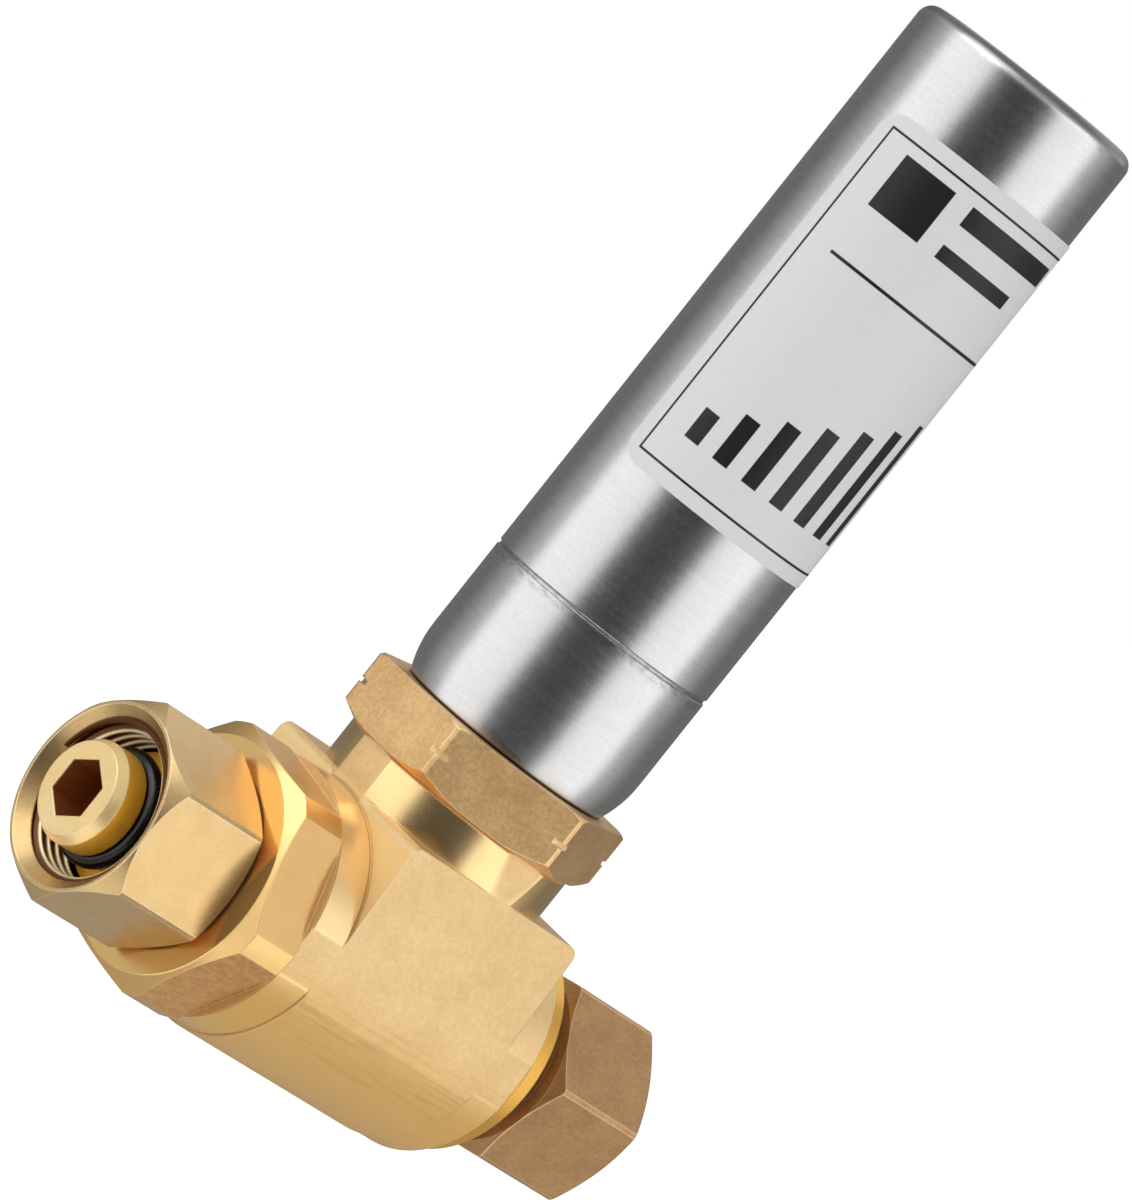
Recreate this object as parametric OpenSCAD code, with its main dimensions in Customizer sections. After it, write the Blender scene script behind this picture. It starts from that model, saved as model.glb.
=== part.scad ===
// Water hammer arrestor on a compression tee.
// X runs along the pipe from the inlet to the outlet, Z up the chamber.
// The origin is the centre of the inlet nut's front face.

/* [Chamber] */
// Outside diameter of the chamber
chamber_d = 22; // [20:0.5:26]
// Wall of the chamber
chamber_wall = 0.6; // [0.4:0.1:0.8]
// Height of the chamber above the base hexagon
chamber_h = 70.8; // [70:0.1:120]
// Outside rounding of the closed end
chamber_edge_r = 1.4; // [1:0.1:3]
// How far the foot is rolled in
foot_in = 0.95; // [0.5:0.05:1.2]
// Height of the rolled-in foot
foot_h = 4.4; // [3.5:0.1:5]
// Height of the rolled crimp above the base hexagon
crimp_z = 13.2; // [11.5:0.1:14]
// Depth of the crimp
crimp_depth = 0.17; // [0.1:0.01:0.25]
// Nose radius of the crimp
crimp_nose_r = 0.25; // [0.2:0.05:0.5]

/* [Label] */
// Height of the label
label_h = 36.3; // [20:0.1:42]
// Height of the label's lower edge above the base hexagon
label_z = 25.6; // [18:0.1:28]
// Part of a turn that the label covers
label_angle = 155; // [60:1:300]
// Where the label starts, round the chamber
label_turn = 183.3; // [0:0.1:360]
// Thickness of the label
label_t = 0.1; // [0.05:0.01:0.2]
// Corner radius of the label
label_corner_r = 2.3; // [1:0.1:4]

/* [Base fitting] */
// Across flats of the base hexagon
base_af = 23; // [22:0.5:27]
// Height of the base hexagon
base_hex_h = 5.8; // [4:0.1:9]
// Corner chamfer under the base hexagon, measured radially
base_under_chamfer = 1.45; // [0.5:0.05:1.6]
// Corner chamfer on top of the base hexagon, measured radially
base_top_chamfer = 0.45; // [0.3:0.05:1.6]
// Width of the turned notch on each corner
notch_w = 0.45; // [0.3:0.05:0.8]
// Depth of the notch
notch_depth = 0.5; // [0.2:0.05:0.8]
// Height of the spigot inside the chamber
spigot_h = 16.1; // [15.5:0.1:20]
// Waterway through the base
base_bore_d = 10; // [6:0.5:12]
// Outside of the base's thread
branch_thread_d = 16.6; // [14:0.1:17.4]
// Length of the base's thread
branch_thread_h = 9.6; // [7:0.1:10]

/* [Piston] */
// Length of the piston
piston_h = 14; // [12:0.5:18]
// Recess under the piston
piston_recess_d = 12; // [8:0.5:13]
// Depth of that recess
piston_recess_h = 8; // [4:0.5:9]
// Distance of each seal from the piston's nearer end
piston_seal_in = 3.2; // [2.5:0.1:4.5]
// Thickness of the piston seals and the base seal
seal_cs = 1.45; // [1:0.05:1.8]

/* [Tee body] */
// Length of the forged block between its faced ends
block_l = 22.14; // [20:0.1:26]
// Diameter of the half-round barrel
barrel_d = 24.4; // [23:0.1:27]
// How far the flat front and back are cut into the barrel's round
flat_cut = 0.37; // [0.2:0.01:1]
// Height above the pipe axis where the front and back start to lean in
draft_z = 1; // [0:0.1:2]
// Draft of the front and back
draft = 3; // [1:0.1:4]
// Height of the shoulder above the pipe axis
shoulder_z = 12.7; // [11:0.1:14]
// Rounding of the shoulder's ends
shoulder_r = 1; // [0.5:0.1:2]
// Height of the neck's top above the pipe axis
neck_z = 16.6; // [15:0.1:20]
// Turned diameter of the neck
neck_d = 22.6; // [21.5:0.1:24]
// Chamfer on the neck's rim
neck_chamfer = 0.3; // [0.1:0.1:0.8]
// Diameter of the turned rings beside the block
ring_d = 24.1; // [23.5:0.1:26]
// Width of those rings
ring_w = 4.03; // [2:0.01:6]
// Chamfer on the outlet ring
ring_chamfer = 0.5; // [0.2:0.1:1]
// Across flats of the inlet collar
collar_af = 22.4; // [19:0.1:23]
// Width of the inlet collar
collar_w = 5.8; // [4:0.1:8]
// How much is turned off the collar's corners, radially
collar_corner_cut = 0.57; // [0.1:0.01:0.8]
// Turn of the collar's corners below the front
collar_turn = 6.5; // [0:0.5:60]
// Corner chamfer on the collar's outer end, measured radially
collar_outer_chamfer = 1.55; // [0.5:0.05:1.6]
// Corner chamfer on the collar's inner end, measured radially
collar_inner_chamfer = 0.3; // [0.2:0.05:1.6]
// Waterway through the tee
run_bore_d = 8; // [6:0.5:9]
// Thickness of the branch seal
branch_seal_cs = 1.1; // [0.8:0.05:1.4]

/* [Inlet] */
// Across flats of both nuts
nut_af = 17; // [16.5:0.1:19]
// Length of the inlet nut
inlet_nut_l = 11.4; // [10:0.1:12]
// Corner chamfer of both nuts, measured radially
nut_chamfer = 1.2; // [0.6:0.05:1.4]
// How much is turned off the corners of the nuts and of the base hexagon, radially
corner_cut = 0.13; // [0.05:0.01:0.3]
// Turn of the inlet nut's corners from the front
inlet_nut_turn = 35.5; // [0:0.5:60]
// Outside diameter of the compression thread
thread_d = 14.29; // [13.5:0.01:14.6]
// Depth of the thread
thread_depth = 0.6; // [0.4:0.05:0.8]
// Depth of the inlet nut's threaded mouth
inlet_mouth_h = 7.2; // [7:0.1:8]
// Steepness of the corner chamfer at the inlet nut's mouth
mouth_angle = 48; // [30:1:50]
// Countersink at the inlet nut's mouth, measured radially
mouth_sink = 1.05; // [0.1:0.05:1.1]
// Diameter of the nose
nose_d = 9.4; // [8.6:0.1:10]
// How far the nose stands out of the inlet nut
nose_proud = 1.6; // [0.5:0.1:3]
// Chamfer of the nose, measured radially
nose_shoulder = 0.5; // [0.3:0.1:1]
// Length of that chamfer along the nose
nose_lead = 0.9; // [0.3:0.1:1.2]
// Thickness of the nose seal
nose_seal_cs = 1.6; // [1.2:0.02:1.8]
// How far the nose seal stands proud of the nose
nose_seal_proud = 0.7; // [0.3:0.02:0.8]
// Distance of the nose seal from the inlet nut's face
nose_seal_x = 2.5; // [2:0.1:3.8]
// Diameter of the flange that keeps the inlet nut on
flange_d = 12.6; // [11.4:0.1:12.8]
// Width of that flange
flange_w = 1.5; // [1:0.1:1.6]
// Diameter of the shank that the inlet nut turns on
shank_d = 10; // [9.4:0.1:10.6]
// Waterway through the tailpiece
nose_bore_d = 4; // [3:0.1:4.2]
// Across flats of the key socket in the nose
key_af = 5; // [4:0.1:5.4]
// Depth of the key socket
key_h = 5; // [3:0.1:8]

/* [Outlet] */
// Length of the threaded stub beyond the outlet ring
stub_l = 11.9; // [10:0.1:16]
// Diameter of the turned shoulder beside the outlet ring
outlet_shoulder_d = 21.8; // [16:0.1:22.6]
// Length of that shoulder
outlet_shoulder_l = 2; // [1:0.1:3]
// Plain neck between the shoulder and the thread
stub_neck_l = 1.4; // [1:0.1:3]
// Diameter of the plain neck
stub_neck_d = 12.6; // [11.6:0.1:13]
// Bore for the tube
tube_bore_d = 9.7; // [9:0.1:10]
// Depth of the tube socket in the stub
tube_socket_h = 8; // [6:0.1:9]
// Length of the outlet nut
outlet_nut_l = 11.6; // [11:0.1:14]
// Length of the tube hole through the outlet nut's end
outlet_land = 2.76; // [2:0.01:4]
// Turn of the outlet nut's corners from the front
outlet_nut_turn = 10.3; // [0:0.1:60]
// Outside diameter of the ferrule
ferrule_d = 12.3; // [11.8:0.1:12.6]
// Length of the ferrule's cylindrical middle
ferrule_band = 1.07; // [0.5:0.01:2]
// Thickness of the ferrule's two ends
ferrule_end_t = 0.3; // [0.2:0.05:0.5]
// Half angle of the seat in the stub
seat_angle = 30; // [25:1:35]

/* [Clearances] */
// Radial clearance of plain threads and of the spigot
thread_gap = 0.05; // [0.03:0.01:0.1]
// Radial clearance of the inlet nut on its shank
swivel_gap = 0.08; // [0.03:0.01:0.1]
// End float of the inlet nut
swivel_float = 0.3; // [0.2:0.05:0.5]
// Radial clearance of the piston
piston_gap = 0.1; // [0.05:0.01:0.2]
// Gap under the piston at rest
piston_rest_gap = 0.1; // [0.05:0.05:0.3]
// Clearance of each seal in its groove and bore
seal_gap = 0.04; // [0.02:0.01:0.08]
// Clearance between the ferrule and its seats
ferrule_gap = 0.12; // [0.05:0.01:0.3]
// Adhesive under the label
label_gap = 0.02; // [0.01:0.01:0.05]

/* [Hidden] */
$fn = 96;
// How far a cut runs past the face it opens
past = 1;
// The other hexagons are chamfered at this angle to their end faces
chamfer_angle = 30;
// Width of a groove over the thickness of the seal in it
groove_ratio = 1.25;
// The label's corner arcs are cut a little larger, to meet its edges at a slight angle
corner_ratio = 1.02;

brass = [0.83, 0.66, 0.36];
steel = [0.72, 0.72, 0.73];
rubber = [0.07, 0.07, 0.08];

chamber_r = chamber_d / 2;
chamber_in_r = chamber_r - chamber_wall;
// Radius of the foot's roll, from its height and depth
foot_r = (foot_h * foot_h + foot_in * foot_in) / (2 * foot_in);
base_top_z = neck_z + base_hex_h;
spigot_inset = chamber_wall + thread_gap;
crimp_axis_r = chamber_r + crimp_nose_r - crimp_depth;

// Seals that bear on the chamber share one size
chamber_seal_r = chamber_in_r - seal_gap - seal_cs / 2;
base_seal_z = (foot_h + crimp_z) / 2;
piston_r = chamber_in_r - piston_gap;
piston_z = base_top_z + spigot_h + piston_rest_gap;

block_half = block_l / 2;
barrel_r = barrel_d / 2;
ring_end = block_half + ring_w;
collar_end = ring_end + collar_w;
branch_socket_r = branch_thread_d / 2 + thread_gap;
branch_seal_r = branch_socket_r + branch_seal_cs / 2 + seal_gap;
branch_recess_h = branch_seal_cs + 2 * seal_gap;

thread_r = thread_d / 2;
thread_core_r = thread_r - thread_depth;
shank_r = shank_d / 2;
flange_x = inlet_mouth_h - swivel_float - flange_w;
nose_seal_r = nose_d / 2 + nose_seal_proud - nose_seal_cs / 2;
inlet_nut_back = inlet_nut_l - inlet_mouth_h;
// Distance from the inlet nut's face to the chamber's axis
inlet_reach = inlet_nut_l + swivel_float + collar_end;
tail_l = inlet_reach - block_half - thread_gap;

tube_r = tube_bore_d / 2;
stub_end = ring_end + stub_l;
// Where the outlet's thread starts beyond the ring
thread_start = outlet_shoulder_l + stub_neck_l;
tube_stop = stub_end - tube_socket_h;
ferrule_r = ferrule_d / 2;
ferrule_end_r = tube_r + ferrule_end_t;
// The seat opens just wide enough at the stub's end for the ferrule to stand half in
seat_r = (tube_r + thread_core_r) / 2 + ferrule_end_t;
seat_h = (seat_r - tube_r) / tan(seat_angle);
// Where the ferrule's front end meets its clearance from the seat
ferrule_x = stub_end - seat_h + (ferrule_end_t + ferrule_gap / cos(seat_angle)) / tan(seat_angle);
ferrule_front_h = (ferrule_r - ferrule_end_r) / tan(seat_angle);
ferrule_back_h = ferrule_r - ferrule_end_r;
ferrule_l = ferrule_front_h + ferrule_band + ferrule_back_h;
outlet_bore_r = thread_r + thread_gap;
// The nut's cone keeps the same clearance from the ferrule's back
outlet_cone_end = ferrule_x + ferrule_l + ferrule_end_t + ferrule_gap / cos(45);
outlet_cone_h = outlet_bore_r - tube_r;
outlet_nut_x = outlet_cone_end + outlet_land - outlet_nut_l;

module tee_frame() translate([inlet_reach, 0, 0]) children();

// Turns a solid of revolution so that its axis lies along X
module along_x(x = 0) translate([x, 0, 0]) rotate([0, 90, 0]) children();

module ring_of(radius, section_d) rotate_extrude() translate([radius, 0]) circle(d = section_d);

// Hexagon bar with its corners turned down and chamfered, one corner on the local X axis
module hex_bar(af, length, cut, low_chamfer, high_chamfer, low_angle = chamfer_angle) {
    corner_r = af / sqrt(3);
    over_r = corner_r - cut;
    low_h = low_chamfer * tan(low_angle);
    high_h = high_chamfer * tan(chamfer_angle);
    intersection() {
        cylinder(r = corner_r, h = length, $fn = 6);
        rotate_extrude() polygon([
            [0, 0], [over_r - low_chamfer, 0], [over_r, low_h],
            [over_r, length - high_h], [over_r - high_chamfer, length], [0, length]
        ]);
    }
}

// Half outline of the chamber, drawn in by an inset and closed flat at the given height
module can_outline(inset, height, edge_r) {
    wall_r = chamber_r - inset;
    translate([0, foot_h]) square([wall_r, height - foot_h - edge_r]);
    translate([0, foot_h]) square([wall_r - edge_r, height - foot_h]);
    translate([wall_r - edge_r, height - edge_r]) circle(r = edge_r);
    intersection() {
        translate([chamber_r - foot_r, foot_h]) circle(r = foot_r - inset);
        square([chamber_r, foot_h]);
    }
}

module crimp_section(extra) translate([crimp_axis_r, crimp_z]) circle(r = crimp_nose_r + extra);

module chamber() {
    color(steel) tee_frame() translate([0, 0, base_top_z]) rotate_extrude() difference() {
        union() {
            difference() {
                can_outline(0, chamber_h, chamber_edge_r);
                can_outline(chamber_wall, chamber_h - chamber_wall, chamber_edge_r - chamber_wall);
            }
            intersection() {
                crimp_section(chamber_wall);
                translate([0, foot_h]) square([chamber_r, chamber_h - 2 * foot_h]);
            }
        }
        crimp_section(0);
    }
}

// Cuts one rounded corner of the label, with its centre on the local X axis
module label_corner() {
    rotate([0, 90, 0]) difference() {
        cube([label_corner_r + past, label_corner_r + past, chamber_d]);
        translate([0, 0, -past]) cylinder(r = label_corner_r * corner_ratio, h = chamber_d + 2 * past);
    }
}

module label() {
    inner_r = chamber_r + label_gap;
    corner_turn = label_corner_r / inner_r * 180 / PI;
    color("white") tee_frame() translate([0, 0, base_top_z + label_z]) rotate([0, 0, label_turn])
    difference() {
        rotate_extrude(angle = label_angle) translate([inner_r, 0]) square([label_t, label_h]);
        rotate([0, 0, label_angle - corner_turn]) translate([0, 0, label_corner_r]) label_corner();
        rotate([0, 0, corner_turn]) translate([0, 0, label_corner_r]) mirror([0, 1, 0]) label_corner();
        translate([0, 0, label_h - label_corner_r]) mirror([0, 0, 1]) {
            rotate([0, 0, label_angle - corner_turn]) label_corner();
            rotate([0, 0, corner_turn]) mirror([0, 1, 0]) label_corner();
        }
    }
}

// Half outline of a groove for a seal, centred on the seal
module groove_outline(seal_r, section_d) {
    floor_r = seal_r - section_d / 2 - seal_gap;
    width = section_d * groove_ratio;
    translate([floor_r, -width / 2]) square([section_d + past, width]);
}

module spigot_outline() {
    difference() {
        intersection() {
            can_outline(spigot_inset, chamber_h, chamber_edge_r);
            square([chamber_r, spigot_h]);
        }
        translate([0, base_seal_z]) groove_outline(chamber_seal_r, seal_cs);
        crimp_section(spigot_inset);
    }
}

module base_fitting() {
    notch_r = base_af / sqrt(3) - notch_depth;
    color(brass) tee_frame() difference() {
        union() {
            translate([0, 0, neck_z]) rotate([0, 0, 90])
                hex_bar(base_af, base_hex_h, corner_cut, base_under_chamfer, base_top_chamfer);
            translate([0, 0, base_top_z]) rotate_extrude() spigot_outline();
            translate([0, 0, neck_z - branch_thread_h]) cylinder(d = branch_thread_d, h = branch_thread_h);
        }
        translate([0, 0, neck_z + base_hex_h / 2 - notch_w / 2])
            rotate_extrude() translate([notch_r, 0]) square([notch_depth + past, notch_w]);
        translate([0, 0, neck_z - branch_thread_h - past])
            cylinder(d = base_bore_d, h = branch_thread_h + base_hex_h + spigot_h + 2 * past);
    }
}

module base_o_ring() {
    color(rubber) tee_frame() translate([0, 0, base_top_z + base_seal_z]) ring_of(chamber_seal_r, seal_cs);
}

module branch_o_ring() {
    color(rubber) tee_frame() translate([0, 0, neck_z - branch_recess_h / 2])
        ring_of(branch_seal_r, branch_seal_cs);
}

module piston() {
    color("ivory") tee_frame() translate([0, 0, piston_z]) difference() {
        rotate_extrude() difference() {
            square([piston_r, piston_h]);
            for (z = [piston_seal_in, piston_h - piston_seal_in])
                translate([0, z]) groove_outline(chamber_seal_r, seal_cs);
        }
        translate([0, 0, -past]) cylinder(d = piston_recess_d, h = piston_recess_h + past);
    }
}

module piston_seal(z) {
    color(rubber) tee_frame() translate([0, 0, piston_z + z]) ring_of(chamber_seal_r, seal_cs);
}

module piston_upper_o_ring() piston_seal(piston_h - piston_seal_in);

module piston_lower_o_ring() piston_seal(piston_seal_in);

// Section of the forging across the pipe: half-round barrel below, flat sides that lean in above
module body_section() {
    flat_y = barrel_r - flat_cut;
    top_y = flat_y - (neck_z - draft_z) * tan(draft);
    intersection() {
        circle(r = barrel_r);
        translate([-flat_y, -barrel_r]) square([2 * flat_y, barrel_r + draft_z]);
    }
    polygon([[-flat_y, draft_z], [flat_y, draft_z], [top_y, neck_z], [-top_y, neck_z]]);
}

module forging(length) rotate([90, 0, 90]) linear_extrude(length, center = true) body_section();

// Front outline of the block, with its shoulder's ends rounded
module block_outline() {
    low = -barrel_r - past;
    translate([-block_half, low]) square([block_l, shoulder_z - shoulder_r - low]);
    translate([-block_half + shoulder_r, low]) square([block_l - 2 * shoulder_r, shoulder_z - low]);
    for (side = [-1, 1])
        translate([side * (block_half - shoulder_r), shoulder_z - shoulder_r]) circle(r = shoulder_r);
}

module forged_block() {
    neck_r = neck_d / 2;
    intersection() {
        forging(block_l);
        union() {
            rotate([90, 0, 0]) linear_extrude(2 * barrel_d, center = true) block_outline();
            rotate_extrude() polygon([
                [0, 0], [neck_r, 0], [neck_r, neck_z - neck_chamfer],
                [neck_r - neck_chamfer, neck_z], [0, neck_z]
            ]);
        }
    }
}

// Rings turned on the forging beside the block, which leave its flat front and back as forged
module turned_rings() {
    ring_r = ring_d / 2;
    intersection() {
        forging(2 * ring_end);
        along_x() rotate_extrude() polygon([
            [0, -ring_end], [ring_r, -ring_end], [ring_r, ring_end - ring_chamfer],
            [ring_r - ring_chamfer, ring_end], [0, ring_end]
        ]);
    }
}

module outlet_stub() {
    step_r = outlet_shoulder_d / 2;
    along_x(ring_end - past) rotate_extrude() polygon([
        [0, 0], [step_r, 0], [step_r, outlet_shoulder_l + past],
        [stub_neck_d / 2, outlet_shoulder_l + past], [stub_neck_d / 2, thread_start + past],
        [thread_core_r, thread_start + past], [thread_core_r, stub_l + past], [0, stub_l + past]
    ]);
}

module tee_body() {
    color(brass) tee_frame() difference() {
        union() {
            forged_block();
            turned_rings();
            along_x(-collar_end) rotate([0, 0, collar_turn - 90])
                hex_bar(collar_af, collar_w, collar_corner_cut, collar_outer_chamfer, collar_inner_chamfer);
            outlet_stub();
        }
        along_x(-collar_end - past) cylinder(r = shank_r + thread_gap, h = collar_end + past - block_half);
        along_x(-block_half - past) cylinder(d = run_bore_d, h = block_half + past + tube_stop + past);
        along_x(tube_stop) cylinder(r = tube_r, h = tube_socket_h + past);
        along_x(stub_end - seat_h) cylinder(r1 = tube_r, r2 = seat_r, h = seat_h);
        cylinder(d = base_bore_d, h = neck_z);
        translate([0, 0, neck_z - branch_thread_h - thread_gap])
            cylinder(r = branch_socket_r, h = branch_thread_h + past);
        translate([0, 0, neck_z - branch_recess_h])
            cylinder(r = branch_seal_r + branch_seal_cs / 2 + seal_gap, h = branch_recess_h + past);
    }
}

module tailpiece() {
    nose_r = nose_d / 2;
    color(brass) along_x() difference() {
        rotate_extrude() difference() {
            union() {
                polygon([
                    [0, -nose_proud], [nose_r - nose_shoulder, -nose_proud], [nose_r, nose_lead - nose_proud],
                    [nose_r, flange_x], [0, flange_x]
                ]);
                translate([0, flange_x]) square([flange_d / 2, flange_w]);
                translate([0, flange_x]) square([shank_r, tail_l - flange_x]);
            }
            translate([0, nose_seal_x]) groove_outline(nose_seal_r, nose_seal_cs);
        }
        translate([0, 0, -nose_proud - past]) cylinder(d = nose_bore_d, h = nose_proud + tail_l + 2 * past);
        translate([0, 0, -nose_proud - past]) cylinder(d = key_af / cos(30), h = key_h + past, $fn = 6);
    }
}

module nose_o_ring() {
    color(rubber) along_x(nose_seal_x) ring_of(nose_seal_r, nose_seal_cs);
}

// A nut's hexagon along X, with one corner turned up from the front
module nut_blank(length, turn, angle) {
    rotate([0, 0, 30 - turn]) hex_bar(nut_af, length, corner_cut, nut_chamfer, nut_chamfer, angle);
}

module swivel_nut() {
    color(brass) along_x() difference() {
        nut_blank(inlet_nut_l, inlet_nut_turn, mouth_angle);
        translate([0, 0, -past]) cylinder(r = thread_r, h = inlet_mouth_h + past);
        cylinder(r1 = thread_r + mouth_sink, r2 = thread_r, h = mouth_sink);
        translate([0, 0, inlet_mouth_h - past])
            cylinder(r = shank_r + swivel_gap, h = inlet_nut_back + 2 * past);
    }
}

module ferrule() {
    color(brass) tee_frame() along_x(ferrule_x) rotate_extrude() polygon([
        [tube_r, 0], [ferrule_end_r, 0], [ferrule_r, ferrule_front_h],
        [ferrule_r, ferrule_front_h + ferrule_band], [ferrule_end_r, ferrule_l], [tube_r, ferrule_l]
    ]);
}

module outlet_nut() {
    color(brass) tee_frame() difference() {
        along_x(outlet_nut_x) nut_blank(outlet_nut_l, outlet_nut_turn, chamfer_angle);
        along_x(outlet_nut_x - past) cylinder(r = tube_r, h = outlet_nut_l + 2 * past);
        along_x(outlet_nut_x - past)
            cylinder(r = outlet_bore_r, h = outlet_cone_end - outlet_cone_h - outlet_nut_x + past);
        along_x(outlet_cone_end - outlet_cone_h) cylinder(r1 = outlet_bore_r, r2 = tube_r, h = outlet_cone_h);
    }
}

tee_body();
base_fitting();
branch_o_ring();
chamber();
base_o_ring();
label();
piston();
piston_upper_o_ring();
piston_lower_o_ring();
tailpiece();
nose_o_ring();
swivel_nut();
ferrule();
outlet_nut();
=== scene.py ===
import math

import bmesh
import bpy
from mathutils import Matrix, Vector


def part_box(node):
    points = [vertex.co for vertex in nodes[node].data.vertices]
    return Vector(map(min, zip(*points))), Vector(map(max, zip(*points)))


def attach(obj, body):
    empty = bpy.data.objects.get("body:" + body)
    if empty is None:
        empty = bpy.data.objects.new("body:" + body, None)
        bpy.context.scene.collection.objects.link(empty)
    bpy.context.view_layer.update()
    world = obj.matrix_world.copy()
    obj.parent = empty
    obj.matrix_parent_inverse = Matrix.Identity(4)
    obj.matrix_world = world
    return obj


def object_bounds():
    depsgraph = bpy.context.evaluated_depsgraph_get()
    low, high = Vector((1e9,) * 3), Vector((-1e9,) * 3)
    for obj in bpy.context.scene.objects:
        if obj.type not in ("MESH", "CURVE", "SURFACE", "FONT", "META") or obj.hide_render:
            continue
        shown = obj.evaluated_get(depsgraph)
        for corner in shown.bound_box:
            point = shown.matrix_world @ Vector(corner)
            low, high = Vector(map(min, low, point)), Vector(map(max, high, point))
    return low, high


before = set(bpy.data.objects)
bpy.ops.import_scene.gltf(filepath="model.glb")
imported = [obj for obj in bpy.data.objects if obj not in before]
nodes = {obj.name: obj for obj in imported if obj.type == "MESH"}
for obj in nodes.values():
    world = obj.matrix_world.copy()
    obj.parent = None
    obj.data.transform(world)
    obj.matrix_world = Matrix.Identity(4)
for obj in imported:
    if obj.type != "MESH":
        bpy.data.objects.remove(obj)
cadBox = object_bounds()
scene = bpy.context.scene
print("frame loaded:", len(nodes), "solids")

# where the main axes and faces lie, in metres
mm = 0.001
chamberLow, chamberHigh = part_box("chamber")
labelLow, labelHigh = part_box("label")
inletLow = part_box("swivel_nut")[0]
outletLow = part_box("outlet_nut")[0]
branchX = (chamberLow.x + chamberHigh.x) / 2
chamberR = (chamberHigh.x - chamberLow.x) / 2


class Wire:
    # a shader socket that can be used in sums

    def __init__(self, tree, socket):
        self.tree = tree
        self.socket = socket

    def maths(self, kind, first, second=0.0):
        return self.tree.add("ShaderNodeMath", {"operation": kind}, {0: first, 1: second})

    def __add__(self, other):
        return self.maths("ADD", self, other)

    def __sub__(self, other):
        return self.maths("SUBTRACT", self, other)

    def __mul__(self, other):
        return self.maths("MULTIPLY", self, other)

    def __truediv__(self, other):
        return self.maths("DIVIDE", self, other)

    def __pow__(self, other):
        return self.maths("POWER", self, other)

    def __radd__(self, other):
        return self.maths("ADD", other, self)

    def __rsub__(self, other):
        return self.maths("SUBTRACT", other, self)

    def __rmul__(self, other):
        return self.maths("MULTIPLY", other, self)

    def __abs__(self):
        return self.maths("ABSOLUTE", self)


class Nodes:
    # a node tree, built node by node

    def __init__(self, tree):
        self.tree = tree
        self.tree.nodes.clear()

    def plug(self, socket, value):
        if isinstance(value, Wire):
            self.tree.links.new(value.socket, socket)
        else:
            socket.default_value = value

    def add(self, kind, settings=None, inputs=None, output=0):
        node = self.tree.nodes.new(kind)
        for key, value in (settings or {}).items():
            setattr(node, key, value)
        for key, value in (inputs or {}).items():
            self.plug(node.inputs[key], value)
        return None if output is None else Wire(self, node.outputs[output])

    def rise(self, value, low, high):
        # 0 below low, 1 above high
        return self.add(
            "ShaderNodeMapRange",
            {"interpolation_type": "SMOOTHSTEP"},
            {"Value": value, "From Min": low, "From Max": high},
        )

    def vector(self, kind, first, second=None, output=0):
        inputs = {0: first} if second is None else {0: first, 1: second}
        return self.add("ShaderNodeVectorMath", {"operation": kind}, inputs, output)

    def dot(self, first, second):
        return self.vector("DOT_PRODUCT", first, second, "Value")


class Finish(Nodes):
    # one material

    edgeLean = (0.003, 0.04)    # how far a rounded normal leans before it counts as an edge
    latheFine = 5200.0          # scale of the turned lines round the run

    def __init__(self, name):
        self.material = bpy.data.materials.new(name)
        self.material.use_nodes = True
        super().__init__(self.material.node_tree)
        self.shader = self.tree.nodes.new("ShaderNodeBsdfPrincipled")
        self.add("ShaderNodeOutputMaterial", None, {"Surface": Wire(self, self.shader.outputs[0])}, None)
        self.point = self.add("ShaderNodeTexCoord", output="Object")
        split = self.tree.nodes.new("ShaderNodeSeparateXYZ")
        self.plug(split.inputs[0], self.point)
        self.x = Wire(self, split.outputs["X"]) - branchX
        self.y = Wire(self, split.outputs["Y"])
        self.z = Wire(self, split.outputs["Z"])
        self.runR = (self.y * self.y + self.z * self.z) ** 0.5      # from the run's axis
        self.branchR = (self.x * self.x + self.y * self.y) ** 0.5   # from the chamber's axis

    def surface(self, values):
        for key, value in values.items():
            self.plug(self.shader.inputs[key], value)

    def within(self, value, low, high, soft):
        return self.rise(value, low - soft, low + soft) * (1 - self.rise(value, high - soft, high + soft))

    def most(self, first, second):
        return first.maths("MAXIMUM", first, second)

    def join(self, x, y, z=0.0):
        return self.add("ShaderNodeCombineXYZ", None, {"X": x, "Y": y, "Z": z})

    def stretch(self, point, scales):
        return self.vector("MULTIPLY", point, scales)

    def normal(self):
        return self.add("ShaderNodeNewGeometry", output="Normal")

    def noise(self, point, scale, detail=2.0, rough=0.5):
        return self.add(
            "ShaderNodeTexNoise", None,
            {"Vector": point, "Scale": scale, "Detail": detail, "Roughness": rough},
        )

    def latheLines(self):
        return self.noise(self.join(self.x, self.runR), self.latheFine, 2.0)

    def mix(self, amount, first, second):
        return self.add("ShaderNodeMix", {"data_type": "RGBA"}, {0: amount, 6: first, 7: second}, 2)

    def edges(self, width):
        # the normal with edges rounded off, and a mask of the edges themselves
        rounded = self.add("ShaderNodeBevel", {"samples": 4}, {"Radius": width})
        return rounded, self.rise(1 - self.dot(rounded, self.normal()), *self.edgeLean)

    def upright(self, amount):
        # the normal, turned towards level by the amount, inside or outside the can
        plain = self.normal()
        level = self.join(self.x / self.branchR, self.y / self.branchR)
        side = self.dot(plain, level)
        side = side.maths("SIGN", side)
        turned = self.mix(amount, plain, self.stretch(level, self.join(side, side, side)))
        return self.vector("NORMALIZE", turned)

    def bump(self, height, depth, normal):
        return self.add("ShaderNodeBump", None, {"Height": height, "Distance": depth, "Normal": normal})


def colour(red, green, blue):
    # screen values 0 to 255 to the shader's linear colour
    def linear(v):
        v /= 255
        return v / 12.92 if v <= 0.04045 else ((v + 0.055) / 1.055) ** 2.4
    return (linear(red), linear(green), linear(blue), 1.0)


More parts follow.
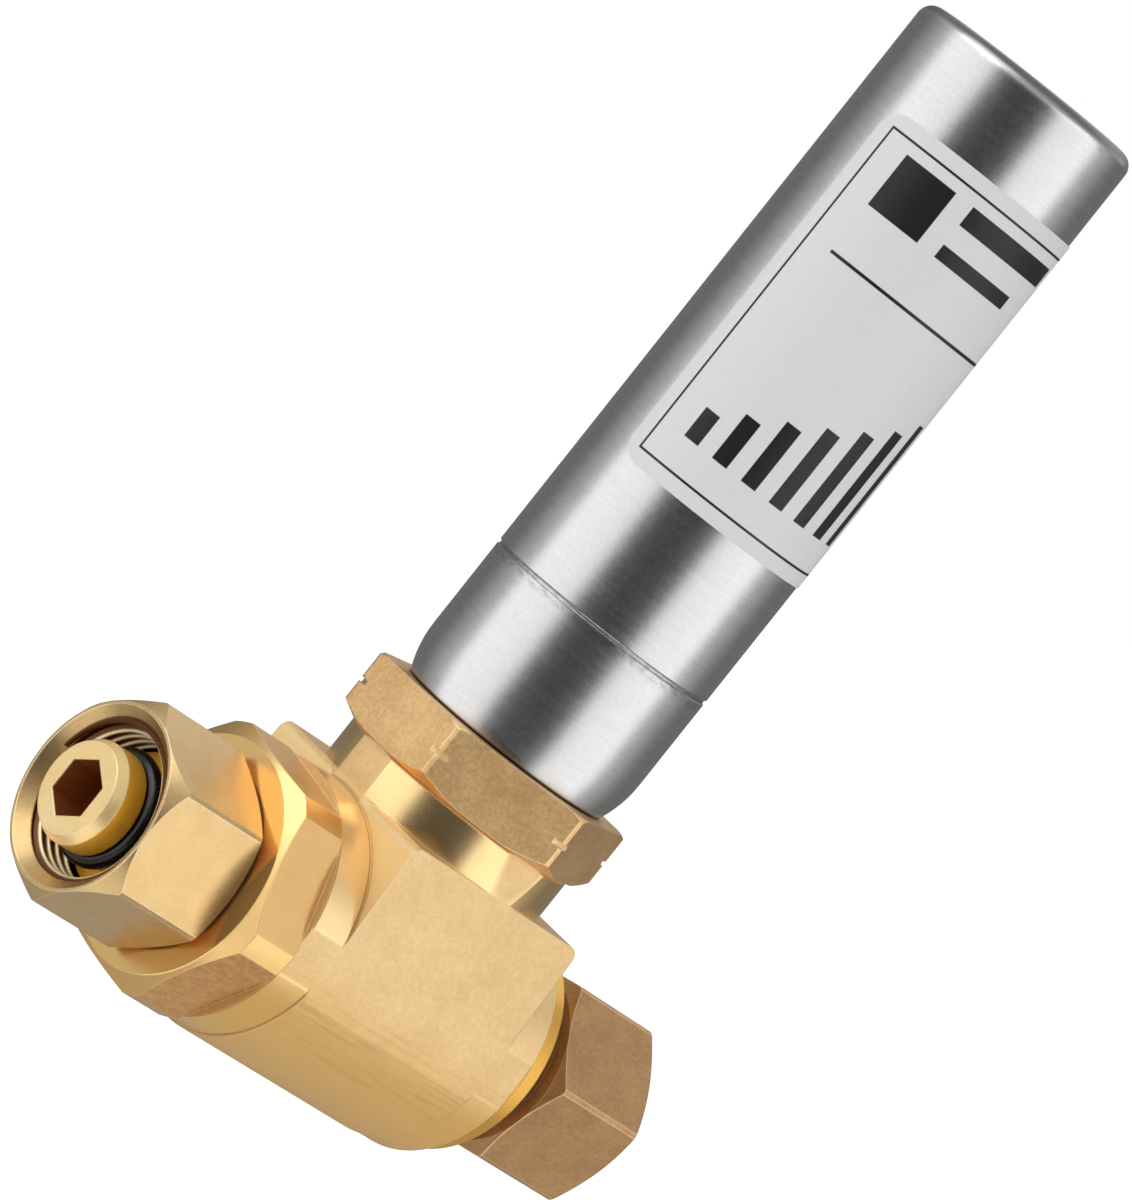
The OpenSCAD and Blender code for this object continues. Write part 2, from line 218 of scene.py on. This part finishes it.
def dress(name, finish):
    node = nodes[name]
    node.data.materials.clear()
    node.data.materials.append(finish.material)


# the camera, at the angle of the photograph
cameraSet = {
    "aim": (0.03147, 0.00389, 0.03500),
    "azimuth": -43.056,
    "elevation": 3.386,
    "distance": 0.61359,
    "roll": 38.466,
    "lens": 219.107,
    "sensor": 36.0,
}


def towards(azimuth, elevation):
    a, e = math.radians(azimuth), math.radians(elevation)
    return Vector((math.sin(a) * math.cos(e), -math.cos(a) * math.cos(e), math.sin(e)))


def facing(place, aim):
    turn = (Vector(aim) - Vector(place)).to_track_quat("-Z", "Y").to_matrix().to_4x4()
    return Matrix.Translation(place) @ turn


def makeCamera(want):
    data = bpy.data.cameras.new("camera")
    data.lens = want["lens"]
    data.sensor_width = want["sensor"]
    camera = bpy.data.objects.new("camera", data)
    scene.collection.objects.link(camera)
    place = Vector(want["aim"]) + towards(want["azimuth"], want["elevation"]) * want["distance"]
    camera.matrix_world = facing(place, want["aim"]) @ Matrix.Rotation(math.radians(want["roll"]), 4, "Z")
    scene.camera = camera


makeCamera(cameraSet)
print("camera set")

# brushed steel of the can
steelLook = {
    "pale": colour(212, 211, 210),
    "dark": colour(196, 195, 195),
    "roughness": 0.30,
    "uneven": 0.05,                         # how far the streaks sway the roughness
    "streak": (260.0, 260.0, 4200.0),       # short along the can, long round it
    "speck": 3000.0,
    # painted shade: the can's rounded top edge is painted a darker grey
    "capShade": colour(128, 127, 127),
    "capShaded": (-1.0 * mm, -0.45 * mm),      # heights from the top where painted shade darkens the rounded edge
    "lid": colour(196, 195, 195),
    "lidded": (-0.12 * mm, -0.03 * mm),     # heights from the top where the flat lid starts
    "lidRoughness": 0.52,
    "lidMetal": 0.6,
    # painted shadow: a dark line along the foot, where the can stands on the flange
    "seamShadow": colour(40, 38, 37),
    "seamShadowFade": (0.1 * mm, 0.4 * mm),         # heights over the foot where its painted shadow line fades
    "footed": (3.0 * mm, 5.5 * mm),         # heights over the foot where its curve ends
    "straight": 0.85,                       # how far that curve is shaded as a plain wall
    # painted shade: the crimp's groove is painted a darker grey, in patches
    "roll": colour(150, 148, 147),
    "rolled": (13.02 * mm, 13.38 * mm),     # heights over the foot of the crimp's groove, which painted shade darkens
    "rollLeast": 0.45,                      # how much of the groove's painted shade is always there
    "crimpBand": colour(138, 136, 135),
    "crimpBandSpan": (12.4 * mm, 13.1 * mm),       # heights just below the crimp where the wall is painted a patchy darker grey
    "crimpBandMost": 0.6,
    "patch": (1500.0, 1500.0, 2600.0),
    "patchSpread": (0.4, 0.66),
}


def makeSteel(look):
    finish = Finish("brushedSteel")
    streaks = finish.noise(finish.stretch(finish.point, look["streak"]), 1.0, 3.0, 0.6)
    speck = finish.noise(finish.point, look["speck"], 2.0)
    tone = finish.rise(streaks * 0.5 + speck * 0.5, 0.2, 0.8)
    wall = finish.mix(tone, look["dark"], look["pale"])
    up = finish.z - chamberLow.z
    top = finish.z - chamberHigh.z

    blots = finish.noise(finish.stretch(finish.point, look["patch"]), 1.0, 4.0, 0.7)
    patches = finish.rise(blots, *look["patchSpread"])
    # a patchy darker grey band, painted just below the crimp
    crimpBand = patches * finish.within(up, *look["crimpBandSpan"], 0.3 * mm)
    # painted shade in the crimp's groove, stronger in the patches
    least = look["rollLeast"]
    roll = (least + patches * (1 - least)) * finish.within(up, *look["rolled"], 0.08 * mm)
    wall = finish.mix(roll, finish.mix(crimpBand * look["crimpBandMost"], wall, look["crimpBand"]), look["roll"])

    # painted shade on the rounded top edge; the flat lid above it is a duller finish of its own
    capShade = finish.rise(top, *look["capShaded"])
    lid = finish.rise(top, *look["lidded"])
    wall = finish.mix(lid, finish.mix(capShade, wall, look["capShade"]), look["lid"])
    # painted shadow along the foot
    seamShadow = 1 - finish.rise(up, *look["seamShadowFade"])
    foot = 1 - finish.rise(up, *look["footed"])
    roughness = look["roughness"] + (tone - 0.5) * look["uneven"]
    finish.surface({
        "Base Color": finish.mix(seamShadow, wall, look["seamShadow"]),
        "Metallic": 1.0 - lid * (1 - look["lidMetal"]),
        "Roughness": roughness + lid * (look["lidRoughness"] - look["roughness"]),
        "Normal": finish.upright(foot * look["straight"]),
    })
    return finish


dress("chamber", makeSteel(steelLook))

# brass: matte where it was forged, bright where it was turned
forgedLook = {
    "pale": colour(241, 208, 152),
    "dark": colour(222, 184, 126),
    # painted shade: the deeper gold of the barrel's lower part
    "barrel": colour(218, 170, 90),
    # painted light: a paler tone on the block's end face over the ring
    "cheekLight": colour(238, 206, 148),
    # paler edges: wear, and a painted highlight along them
    "wornAndHighlight": colour(255, 232, 182),
    "metal": 0.46,
    "roughness": 0.45,
    "grain": 2200.0,
    "relief": 0.02 * mm,
    "edge": 0.16 * mm,
}
turnedLook = {
    "pale": colour(252, 222, 168),
    "dark": colour(242, 202, 136),
    # painted reflection: a deep gold where turned brass mirrors brass in the shade
    "reflectedGold": colour(240, 184, 88),
    "stub": colour(226, 196, 146),
    # paler edges: wear, and a painted highlight along them
    "wornAndHighlight": colour(255, 240, 200),
    "metal": 0.95,
    "roughness": 0.27,
    "grain": 4200.0,
    "relief": 0.004 * mm,
    "edge": 0.14 * mm,
}
grittyLook = {
    "pale": colour(214, 164, 102),
    "dark": colour(173, 125, 72),
    "grain": (1000.0, 2000.0, 2000.0),  # scratched a little along the run
}
satinLook = {
    "pale": colour(246, 206, 148),
    "dark": colour(217, 173, 115),
    # paler edges: wear, and a painted highlight along them
    "wornAndHighlight": colour(255, 232, 186),
    "metal": 0.82,
    "roughness": 0.38,
    "grain": 3000.0,
    "relief": 0.01 * mm,
    "edge": 0.16 * mm,
}
tanLook = dict(
    satinLook, metal=0.7,
    pale=colour(204, 162, 112), dark=colour(178, 136, 90),
)
nutLook = dict(
    turnedLook, metal=0.9, roughness=0.32,
    pale=colour(222, 191, 139), dark=colour(208, 173, 116),
)
noseLook = dict(
    turnedLook, metal=0.7, roughness=0.36,
    pale=colour(255, 228, 170), dark=colour(252, 214, 146),
)
# painted light: a paler brass for the inlet thread's ridges, so they read as lit
ridgeLitLook = dict(
    turnedLook, metal=0.55, roughness=0.34,
    pale=colour(255, 240, 200), dark=colour(250, 226, 176),
)

# zones of the tee, in metres from the branch axis, and heights above the run
teeZones = {
    "blockEnd": 11.07 * mm,
    "ringEnd": 15.1 * mm,
    "ringR": 12.0 * mm,
    "chamfer": 14.6 * mm,
    "shoulder": 12.7 * mm,
    "neckR": 11.24 * mm,
    "lipR": 10.7 * mm,                      # the outlet step's rim lies outside this
    "facetR": 11.2 * mm,
    "topFacets": (23.5, 83.5, 143.5),       # degrees up from the front to the middle of each
    "lowFacets": (-36.5, -96.5, -156.5),
    "dragged": (-7.0 * mm, -1.5 * mm),      # heights where the die dragged along the barrel
    "barrel": (-6.0 * mm, 1.0 * mm),        # heights over which painted shade turns the barrel's lower part a deeper gold
    "line": 0.16 * mm,                      # width of the painted shade lines along the inlet side's ring edges
    "soft": 0.06 * mm,
}

# how strongly each tone and shine of the tee takes hold
teeAmounts = {
    "farRing": 0.5,             # shine of the outlet side's ring next to the inlet side's
    "collar": 0.9,
    "upperFacets": 0.5,         # how far the collar's upper facets are dulled
    # painted shade on the barrel's lower part
    "barrel": 0.75,
    # painted gold reflections on the ring's lower part and the collar
    "ringReflectedGold": 0.8,
    "collarReflectedGold": 0.45,
    "stub": 0.8,
    "drag": 0.34,
    # painted shade lines along the inlet side's ring edges
    "ringEdgeShade": 0.8,
    # paler edges: wear, and a painted highlight
    "wornAndHighlight": 0.7,
    "dull": 0.6,                # how much of their metal the rings and the stub lose
}

# zones painted in one tone: how far in from the open end, and the radius they stop or start at
# painted reflection: the nose's turned side is painted a deep gold, for the brass it mirrors in the nut's
# shade
noseSideReflection = {
    "from": inletLow.x - 0.6 * mm, "radius": 3.6 * mm, "soft": 0.1 * mm, "beyond": True,
    "tone": colour(255, 198, 66),
}
noseHollow = {
    "from": inletLow.x - 1.5 * mm, "radius": 2.95 * mm, "soft": 0.05 * mm, "beyond": False,
    "tone": colour(190, 118, 66),
}
# painted shade inside the nut's bore, behind its mouth
nutBoreShade = {
    "from": inletLow.x + 1.15 * mm, "radius": 7.3 * mm, "soft": 0.05 * mm, "beyond": False,
    "tone": colour(84, 50, 22),
}
# painted shade at the roots of the inlet thread's ridges
ridgeRootShade = {
    "from": inletLow.x - 1.0 * mm, "radius": 6.64 * mm, "soft": 0.22 * mm, "beyond": True,
    "tone": colour(104, 62, 26),
}


def makeBrass(name, look, *paintedZones):
    # one even brass, with lathe lines round the run, paler edges, and zones painted in set tones
    finish = Finish(name)
    cloud = finish.noise(finish.point, 260.0, 4.0, 0.6)
    grain = finish.noise(finish.point, look["grain"], 3.0, 0.6)
    lathe = finish.latheLines()
    rounded, wornAndHighlight = finish.edges(look["edge"])
    tone = finish.rise(cloud * 0.5 + grain * 0.5, 0.3, 0.7)
    # paler edges: wear, and a painted highlight
    body = finish.mix(wornAndHighlight * 0.85, finish.mix(tone, look["dark"], look["pale"]), look["wornAndHighlight"])
    for paintedZone in paintedZones:
        start = paintedZone["from"] - branchX
        deep = finish.rise(finish.x, start, start + 0.1 * mm)
        out = finish.rise(finish.runR, paintedZone["radius"], paintedZone["radius"] + paintedZone["soft"])
        body = finish.mix(deep * (out if paintedZone["beyond"] else 1 - out), body, paintedZone["tone"])
    finish.surface({
        "Base Color": body,
        "Metallic": look["metal"],
        "Roughness": look["roughness"] + (grain - 0.5) * 0.16 - wornAndHighlight * 0.06,
        "Normal": finish.bump(grain * 0.7 + lathe * 0.3, look["relief"], rounded),
    })
    return finish


def makeTeeBrass(forged, turned, gritty, zones, amounts):
    finish = Finish("teeBrass")
    soft = zones["soft"]
    across = abs(finish.x)
    ringTop = zones["ringR"] + 0.3 * mm
    ringBand = finish.within(finish.runR, zones["ringR"], ringTop, soft / 3)
    ringFaces = finish.within(across, zones["blockEnd"], zones["ringEnd"], soft) * ringBand
    ends = finish.within(across, zones["ringEnd"], zones["ringEnd"], soft)
    inletSide = finish.rise(0.0 - finish.x, 0.0, soft)
    farRing = amounts["farRing"]
    rings = finish.most(ringFaces * (inletSide * (1 - farRing) + farRing), ends)
    stub = finish.rise(finish.x, zones["chamfer"] - soft, zones["chamfer"] + soft)
    collar = finish.rise(0.0 - finish.x, zones["ringEnd"] - soft, zones["ringEnd"] + soft)
    above = finish.rise(finish.z, zones["shoulder"] - soft, zones["shoulder"] + soft)
    neck = above * finish.rise(finish.branchR, zones["neckR"] - soft, zones["neckR"] + soft)

    def onFacets(angles):
        reach = 0.0
        for turn in map(math.radians, angles):
            reach = finish.most(finish.z * math.sin(turn) - finish.y * math.cos(turn), reach)
        return finish.rise(reach, zones["facetR"] - 0.04 * mm, zones["facetR"] - 0.01 * mm)

    under = collar * onFacets(zones["lowFacets"])
    upper = collar * onFacets(zones["topFacets"])
    collarShine = collar * (amounts["collar"] - upper * amounts["upperFacets"])
    shiny = finish.most(finish.most(rings, stub), finish.most(neck, collarShine))
    smooth = finish.most(finish.most(ringFaces, shiny), collar)
    # painted shade: the barrel's lower part is painted a deeper gold
    barrel = 1 - finish.rise(finish.z, *zones["barrel"])
    # painted shade: fine dark lines along the inlet side's ring edges
    line = zones["line"]
    ringEdgeShade = finish.within(across, zones["blockEnd"], zones["blockEnd"] + line, soft / 2)
    ringEdgeShade = finish.most(ringEdgeShade, finish.within(across, zones["ringEnd"] - line, zones["ringEnd"], soft / 2))
    ringEdgeShade = ringEdgeShade * ringBand * inletSide
    # painted light: the block's end face over the ring is painted paler
    cheekLight = finish.within(0.0 - finish.x, zones["blockEnd"] - 0.2 * mm, zones["blockEnd"] + 0.1 * mm, soft)
    cheekLight = cheekLight * finish.rise(finish.runR, ringTop - soft, ringTop) * (1 - above)

    cloud = finish.noise(finish.point, 240.0, 5.0, 0.62)
    mottle = finish.noise(finish.point, 1100.0, 3.0, 0.6)
    grain = finish.noise(finish.point, forged["grain"], 3.0, 0.6)
    lathe = finish.latheLines()
    drag = finish.noise(finish.stretch(finish.point, (120.0, 1500.0, 2600.0)), 1.0, 5.0, 0.7)
    dragBand = finish.within(finish.z, *zones["dragged"], 1.4 * mm)
    dragged = finish.rise(drag, 0.45, 0.7) * dragBand * (1 - shiny)
    scratch = finish.noise(finish.stretch(finish.point, gritty["grain"]), 1.0, 5.0, 0.75)
    pits = finish.rise(scratch, 0.2, 0.8)

    patchy = finish.rise(cloud * 0.4 + mottle * 0.25 + grain * 0.35, 0.25, 0.75)
    matte = finish.mix(patchy, forged["dark"], forged["pale"])
    matte = finish.mix(barrel * amounts["barrel"], matte, forged["barrel"])
    matte = finish.mix(cheekLight, matte, forged["cheekLight"])
    # painted reflection: deep gold on the collar, the ring's lower part, the outlet step's rim and the
    # inlet ring's end
    lip = stub * finish.rise(finish.runR, zones["lipR"] - soft, zones["lipR"] + soft)
    reflectedGoldZones = finish.most(collar * amounts["collarReflectedGold"], barrel * ringFaces * amounts["ringReflectedGold"])
    reflectedGoldMask = finish.most(finish.most(lip, ends * inletSide), reflectedGoldZones)
    bright = finish.mix(reflectedGoldMask, finish.mix(cloud, turned["dark"], turned["pale"]), turned["reflectedGold"])
    bright = finish.mix((stub - lip) * amounts["stub"], bright, turned["stub"])
    rough = finish.mix(pits, gritty["dark"], gritty["pale"])
    rounded, wornAndHighlight = finish.edges(forged["edge"])
    streaked = finish.mix(dragged * amounts["drag"], matte, gritty["dark"])
    plain = finish.mix(shiny, streaked, bright)
    plain = finish.mix(upper * amounts["upperFacets"], plain, gritty["pale"])
    plain = finish.mix(ringEdgeShade * amounts["ringEdgeShade"], finish.mix(under, plain, rough), gritty["dark"])
    roughness = forged["roughness"] + (turned["roughness"] - forged["roughness"]) * shiny
    height = (grain * 0.5 + mottle * 0.8) * (1 - smooth) + lathe * shiny * 0.08
    dull = amounts["dull"]
    shine = shiny * (1 - under) * (1 - ringFaces * dull) * (1 - (stub - lip) * dull)
    # paler edges: wear, and a painted highlight
    edgeWearAndHighlight = wornAndHighlight * (1 - under) * (1 - ringEdgeShade) * amounts["wornAndHighlight"]
    metal = forged["metal"] + (turned["metal"] - forged["metal"]) * shine
    finish.surface({
        "Base Color": finish.mix(edgeWearAndHighlight, plain, forged["wornAndHighlight"]),
        "Metallic": metal,
        "Roughness": roughness + (grain - 0.5) * (1 - smooth) * 0.14 + under * 0.2 - wornAndHighlight * 0.05,
        "Normal": finish.bump(height + pits * under + dragged * 0.4, forged["relief"], rounded),
    })
    return finish


dress("tee_body", makeTeeBrass(forgedLook, turnedLook, grittyLook, teeZones, teeAmounts))
tanBrass = makeBrass("tanBrass", tanLook)
ridgeLitBrass = makeBrass("ridgeLitBrass", ridgeLitLook, ridgeRootShade)
dress("base_fitting", makeBrass("satinBrass", satinLook))
dress("outlet_nut", tanBrass)
dress("tailpiece", makeBrass("noseBrass", noseLook, noseSideReflection, noseHollow))
dress("swivel_nut", makeBrass("nutBrass", nutLook, nutBoreShade))
dress("ferrule", makeBrass("ferruleBrass", noseLook))

# black rubber of the seals
rubberLook = {
    "tone": colour(11, 11, 14),
    "roughness": 0.2,
    "uneven": 0.12,
    "speck": 4000.0,
    "relief": 0.01 * mm,
}
sealNames = (
    "nose_o_ring", "branch_o_ring", "base_o_ring", "piston_upper_o_ring", "piston_lower_o_ring",
)


def makeRubber(look):
    finish = Finish("sealRubber")
    speck = finish.noise(finish.point, look["speck"], 2.0)
    finish.surface({
        "Base Color": look["tone"],
        "Roughness": look["roughness"] + speck * look["uneven"],
        "Normal": finish.bump(speck, look["relief"], finish.normal()),
    })
    return finish


rubber = makeRubber(rubberLook)
for name in sealNames:
    dress(name, rubber)

# paper label, and the moulded piston
paperLook = {
    "tone": colour(213, 213, 213),
    "shade": colour(206, 206, 207),
    "roughness": 0.5,
    "ink": colour(10, 10, 11),
    "left": -176.7,             # degrees round the chamber to the label's left edge
    "spread": 155.0,            # degrees that the label covers
    "rule": (1.3, 0.22),        # inset and width of the printed frame, in millimetres
    "soft": 0.04,               # half the blur of a printed edge, in millimetres
    "bars": (                   # left, low, width and height from the label's lower left corner
        (4.0, 28.6, 5.2, 5.2), (11.0, 31.9, 12.5, 1.9), (11.0, 28.6, 9.0, 1.3),
        (4.0, 23.6, 21.8, 0.3), (4.0, 4.4, 1.5, 3.0), (7.0, 4.4, 1.5, 4.6), (10.0, 4.4, 1.5, 6.2),
        (13.0, 4.4, 1.5, 7.8), (16.0, 4.4, 1.5, 9.4), (19.0, 4.4, 1.5, 11.0), (22.0, 4.4, 1.5, 12.6),
    ),
}
pistonLook = {"tone": colour(228, 222, 204), "shade": colour(214, 207, 188), "roughness": 0.45}


def makePlain(name, look):
    finish = Finish(name)
    fibre = finish.noise(finish.point, 1500.0, 4.0, 0.65)
    finish.surface({
        "Base Color": finish.mix(fibre, look["shade"], look["tone"]),
        "Roughness": look["roughness"] + (fibre - 0.5) * 0.2,
        "Normal": finish.bump(fibre, 0.01 * mm, finish.normal()),
    })
    return finish


def makePaper(look):
    # a plain printed frame, a square, bars and a stair of columns
    finish = makePlain("labelPaper", look)
    angle = finish.y.maths("ARCTAN2", finish.y, finish.x)
    across = (angle - math.radians(look["left"])) * (chamberR / mm)
    up = (finish.z - labelLow.z) / mm
    labelWide = math.radians(look["spread"]) * chamberR / mm
    labelTall = (labelHigh.z - labelLow.z) / mm
    inset, width = look["rule"]
    soft = look["soft"]

    def field(left, low, wide, high):
        return finish.within(across, left, left + wide, soft) * finish.within(up, low, low + high, soft)

    def inside(edge):
        return field(edge, edge, labelWide - 2 * edge, labelTall - 2 * edge)

    ink = inside(inset) - inside(inset + width)
    for bar in look["bars"]:
        ink = finish.most(ink, field(*bar))
    paper = Wire(finish, finish.shader.inputs["Base Color"].links[0].from_socket)
    finish.surface({"Base Color": finish.mix(ink, paper, look["ink"])})
    return finish


dress("label", makePaper(paperLook))
dress("piston", makePlain("pistonPlastic", pistonLook))
print("finishes on every solid")

# screw threads, 24 to the inch, as ridges on the solids' plain cylinders
threadShape = {
    "pitch": 25.4 / 24 * mm,
    "steps": 96,            # round one turn
    "runOut": 32,           # steps over which a ridge grows at each end
    "height": 0.575 * mm,
    "footHalf": 0.38 * mm,
    "crestHalf": 0.08 * mm,
    "sunk": 0.05 * mm,      # how far a ridge's foot stands in its wall
}
threads = {
    "inletThread": {
        "body": "swivel_nut", "slot": "polished_brass", "finish": ridgeLitBrass, "inward": True,
        "wall": 7.145 * mm, "low": inletLow.x + 0.5 * mm, "high": inletLow.x + 6.0 * mm, "shift": 0.0,
    },
    "stubThread": {
        "body": "body", "slot": "forged_brass", "finish": tanBrass, "inward": False,
        "wall": 6.545 * mm, "low": branchX + 18.6 * mm, "high": branchX + 26.9 * mm, "shift": 0.0,
    },
    "outletThread": {
        "body": "outlet_nut", "slot": "turned_brass", "finish": tanBrass, "inward": True,
        "wall": 7.195 * mm, "low": outletLow.x + 0.1 * mm, "high": outletLow.x + 6.2 * mm, "shift": 0.5,
    },
}


def makeThread(name, shape, want):
    side = -1 if want["inward"] else 1
    foot = want["wall"] - side * shape["sunk"]
    first = want["low"] + shape["footHalf"]
    count = int((want["high"] - shape["footHalf"] - first) / shape["pitch"] * shape["steps"])
    start = ((first - branchX) / shape["pitch"] - want["shift"]) * math.tau
    mesh = bmesh.new()
    rows = []
    for step in range(count + 1):
        angle = start + step * math.tau / shape["steps"]
        x = first + step * shape["pitch"] / shape["steps"]
        grown = min(1.0, step / shape["runOut"], (count - step) / shape["runOut"])
        top = want["wall"] + side * shape["height"] * grown
        section = (
            (foot, -shape["footHalf"]), (top, -shape["crestHalf"]),
            (top, shape["crestHalf"]), (foot, shape["footHalf"]),
        )
        rows.append([
            mesh.verts.new((x + dx, r * math.cos(angle), r * math.sin(angle))) for r, dx in section
        ])
    for here, there in zip(rows, rows[1:]):
        for k in range(4):
            mesh.faces.new((here[k], there[k], there[k - 3], here[k - 3]))
    mesh.faces.new(rows[0])
    mesh.faces.new(rows[-1])
    bmesh.ops.recalc_face_normals(mesh, faces=mesh.faces)
    data = bpy.data.meshes.new(name)
    mesh.to_mesh(data)
    mesh.free()
    data.materials.append(want["finish"].material)
    ridge = bpy.data.objects.new(name, data)
    scene.collection.objects.link(ridge)
    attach(ridge, want["body"])


for name, want in threads.items():
    makeThread(name, threadShape, want)
print("threads cut:", len(threads))

# the studio: pale floor, white surround and soft lights
studioSet = {
    "drop": 0.60,               # low enough that the underside can be seen
    "floorSize": 60.0,
    "floorTone": (0.25, 0.25, 0.25, 1.0),
    "floorGlow": 1.0,
    "fill": 0.45,
    "mirrored": {"front": 0.01, "back": 0.18, "sides": 0.48, "above": 0.55, "below": 0.45},
    "tentBack": (-0.2, 0.9),    # where the tent turns from its front to its back
    "tentSides": (0.05, 0.55),  # how far its bright sides reach, from just behind the middle
    "tentMiddle": 0.1,
    "tentHeight": (0.28, 0.6),  # where it turns into its roof, and into its foot
    "lights": {
        "leftPanel": {
            "turn": -58.0, "elevation": 4.0, "far": 0.55, "wide": 0.58, "high": 0.80, "glow": 1.38,
        },
        "rightPanel": {
            "turn": 61.0, "elevation": 4.0, "far": 0.55, "wide": 0.56, "high": 0.80, "glow": 1.38,
        },
        "topPanel": {
            "turn": -62.0, "elevation": 50.0, "far": 0.60, "wide": 0.50, "high": 0.40, "glow": 1.3,
        },
        "lowPanel": {
            "turn": 20.0, "elevation": -58.0, "far": 0.30, "wide": 0.40, "high": 0.30, "glow": 0.65,
        },
        "backPanel": {
            "turn": 160.0, "elevation": 38.0, "far": 0.60, "wide": 0.60, "high": 0.40, "glow": 0.4,
        },
    },
}


def makeFloor(want):
    mesh = bpy.data.meshes.new("floor")
    floor = bpy.data.objects.new("floor", mesh)
    scene.collection.objects.link(floor)
    sheet = bmesh.new()
    bmesh.ops.create_grid(sheet, x_segments=1, y_segments=1, size=want["floorSize"] / 2)
    sheet.to_mesh(mesh)
    sheet.free()
    floor.location = (branchX, 0, cadBox[0][2] - want["drop"])
    finish = Finish("paleFloor")
    finish.surface({
        "Base Color": want["floorTone"],
        "Roughness": 0.9,
        "Emission Color": (1.0, 1.0, 1.0, 1.0),
        "Emission Strength": want["floorGlow"],
    })
    mesh.materials.append(finish.material)
    floor.visible_glossy = False
    floor.visible_diffuse = False


def makeWorld(want):
    # white to the eye, an even fill for soft surfaces, and a tent with a dark front for what mirrors it
    world = bpy.data.worlds.new("surround")
    scene.world = world
    world.use_nodes = True
    sky = Nodes(world.node_tree)
    tent = want["mirrored"]
    ray = sky.add("ShaderNodeTexCoord", output="Generated")
    height = sky.add("ShaderNodeSeparateXYZ", None, {0: ray}, "Z")
    front = sky.dot(ray, tuple(towards(cameraSet["azimuth"], 0.0)))

    back = sky.rise(0.0 - front, *want["tentBack"])
    sides = 1 - sky.rise(abs(front + want["tentMiddle"]), *want["tentSides"])
    above = sky.rise(height, *want["tentHeight"])
    below = sky.rise(0.0 - height, *want["tentHeight"])
    level = tent["front"] + (tent["back"] - tent["front"]) * back
    level = level + (tent["sides"] - level) * sides
    mirrored = level + (tent["above"] - level) * above
    mirrored = mirrored + (tent["below"] - mirrored) * below
    eye = sky.add("ShaderNodeLightPath", output="Is Camera Ray")
    gloss = sky.add("ShaderNodeLightPath", output="Is Glossy Ray")
    strength = eye + (1 - eye) * (gloss * mirrored + (1 - gloss) * want["fill"])
    shade = sky.add("ShaderNodeBackground", None, {"Color": (1.0, 1.0, 1.0, 1.0), "Strength": strength})
    sky.add("ShaderNodeOutputWorld", None, {"Surface": shade}, None)


def makeLight(name, want):
    data = bpy.data.lights.new(name, "AREA")
    data.shape = "RECTANGLE"
    data.size = want["wide"]
    data.size_y = want["high"]
    data.energy = want["glow"] * math.pi * want["wide"] * want["high"]
    light = bpy.data.objects.new(name, data)
    scene.collection.objects.link(light)
    aim = Vector((branchX, 0, (cadBox[0][2] + cadBox[1][2]) / 2))
    way = towards(cameraSet["azimuth"] + want["turn"], want["elevation"])
    light.matrix_world = facing(aim + way * want["far"], aim)
    light.visible_camera = False


makeFloor(studioSet)
makeWorld(studioSet)
for name, want in studioSet["lights"].items():
    makeLight(name, want)
scene.view_settings.view_transform = "Standard"
print("studio lit")
